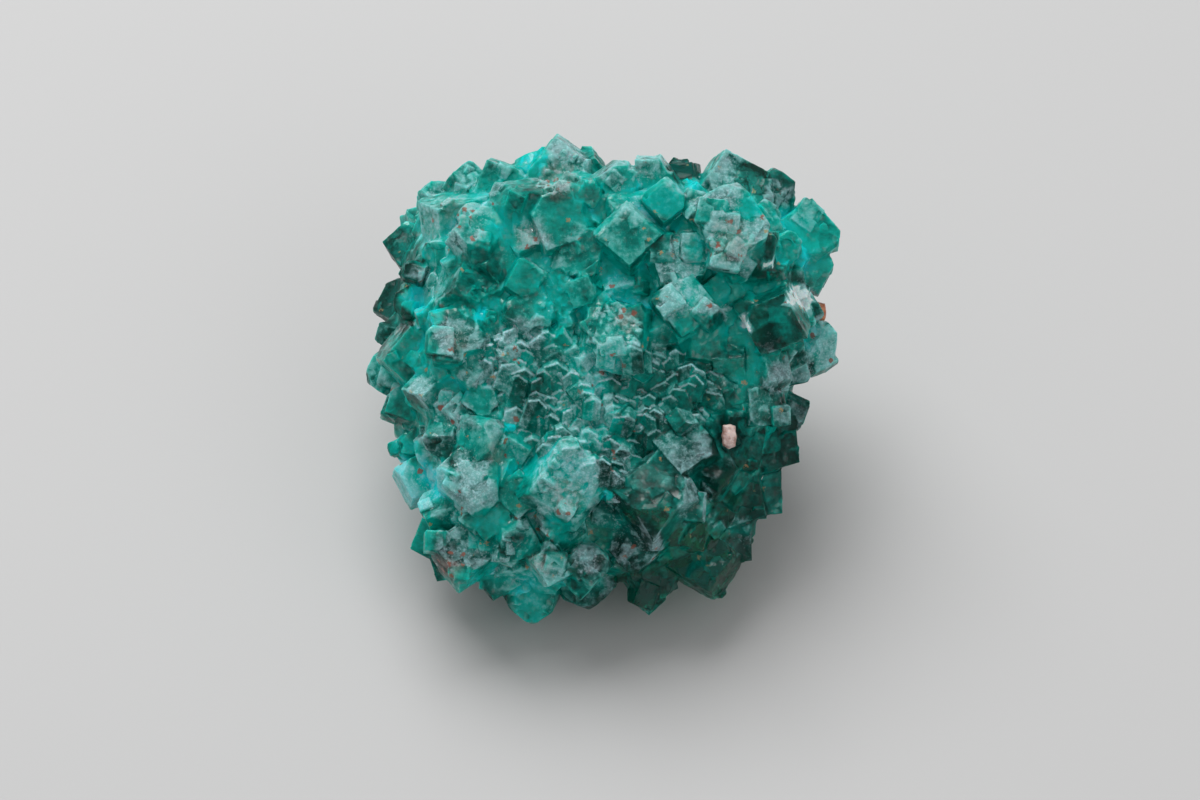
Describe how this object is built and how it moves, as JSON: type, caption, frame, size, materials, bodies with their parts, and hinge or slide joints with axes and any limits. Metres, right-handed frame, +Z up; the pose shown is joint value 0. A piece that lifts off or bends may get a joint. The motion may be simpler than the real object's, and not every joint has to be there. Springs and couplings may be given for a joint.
{
  "type": "dioptase specimen",
  "caption": "Loose lump of intergrown stubby green dioptase crystals, with a pink and an orange calcite grain caught in it, resting on a small broken flat.",
  "frame": {"origin": "on the table, under the middle of the specimen's box", "axes": "+Z up, +X to the right as seen from the show face, and the show face leans back from -Y, its outward line 52 degrees above the table"},
  "size_m": [0.0348, 0.032, 0.0274],
  "materials": {
    "dioptase": "clear to frosted green crystal, part pale and scaly, with red-brown flecks",
    "pink_calcite": "translucent pale pink mineral grain, slightly sugary",
    "orange_calcite": "translucent orange-brown mineral grain"
  },
  "bodies": {
    "root": {"dioptase_cluster": "dioptase", "pink_calcite_grain": "pink_calcite", "orange_calcite_grain": "orange_calcite"}
  },
  "joints": []
}
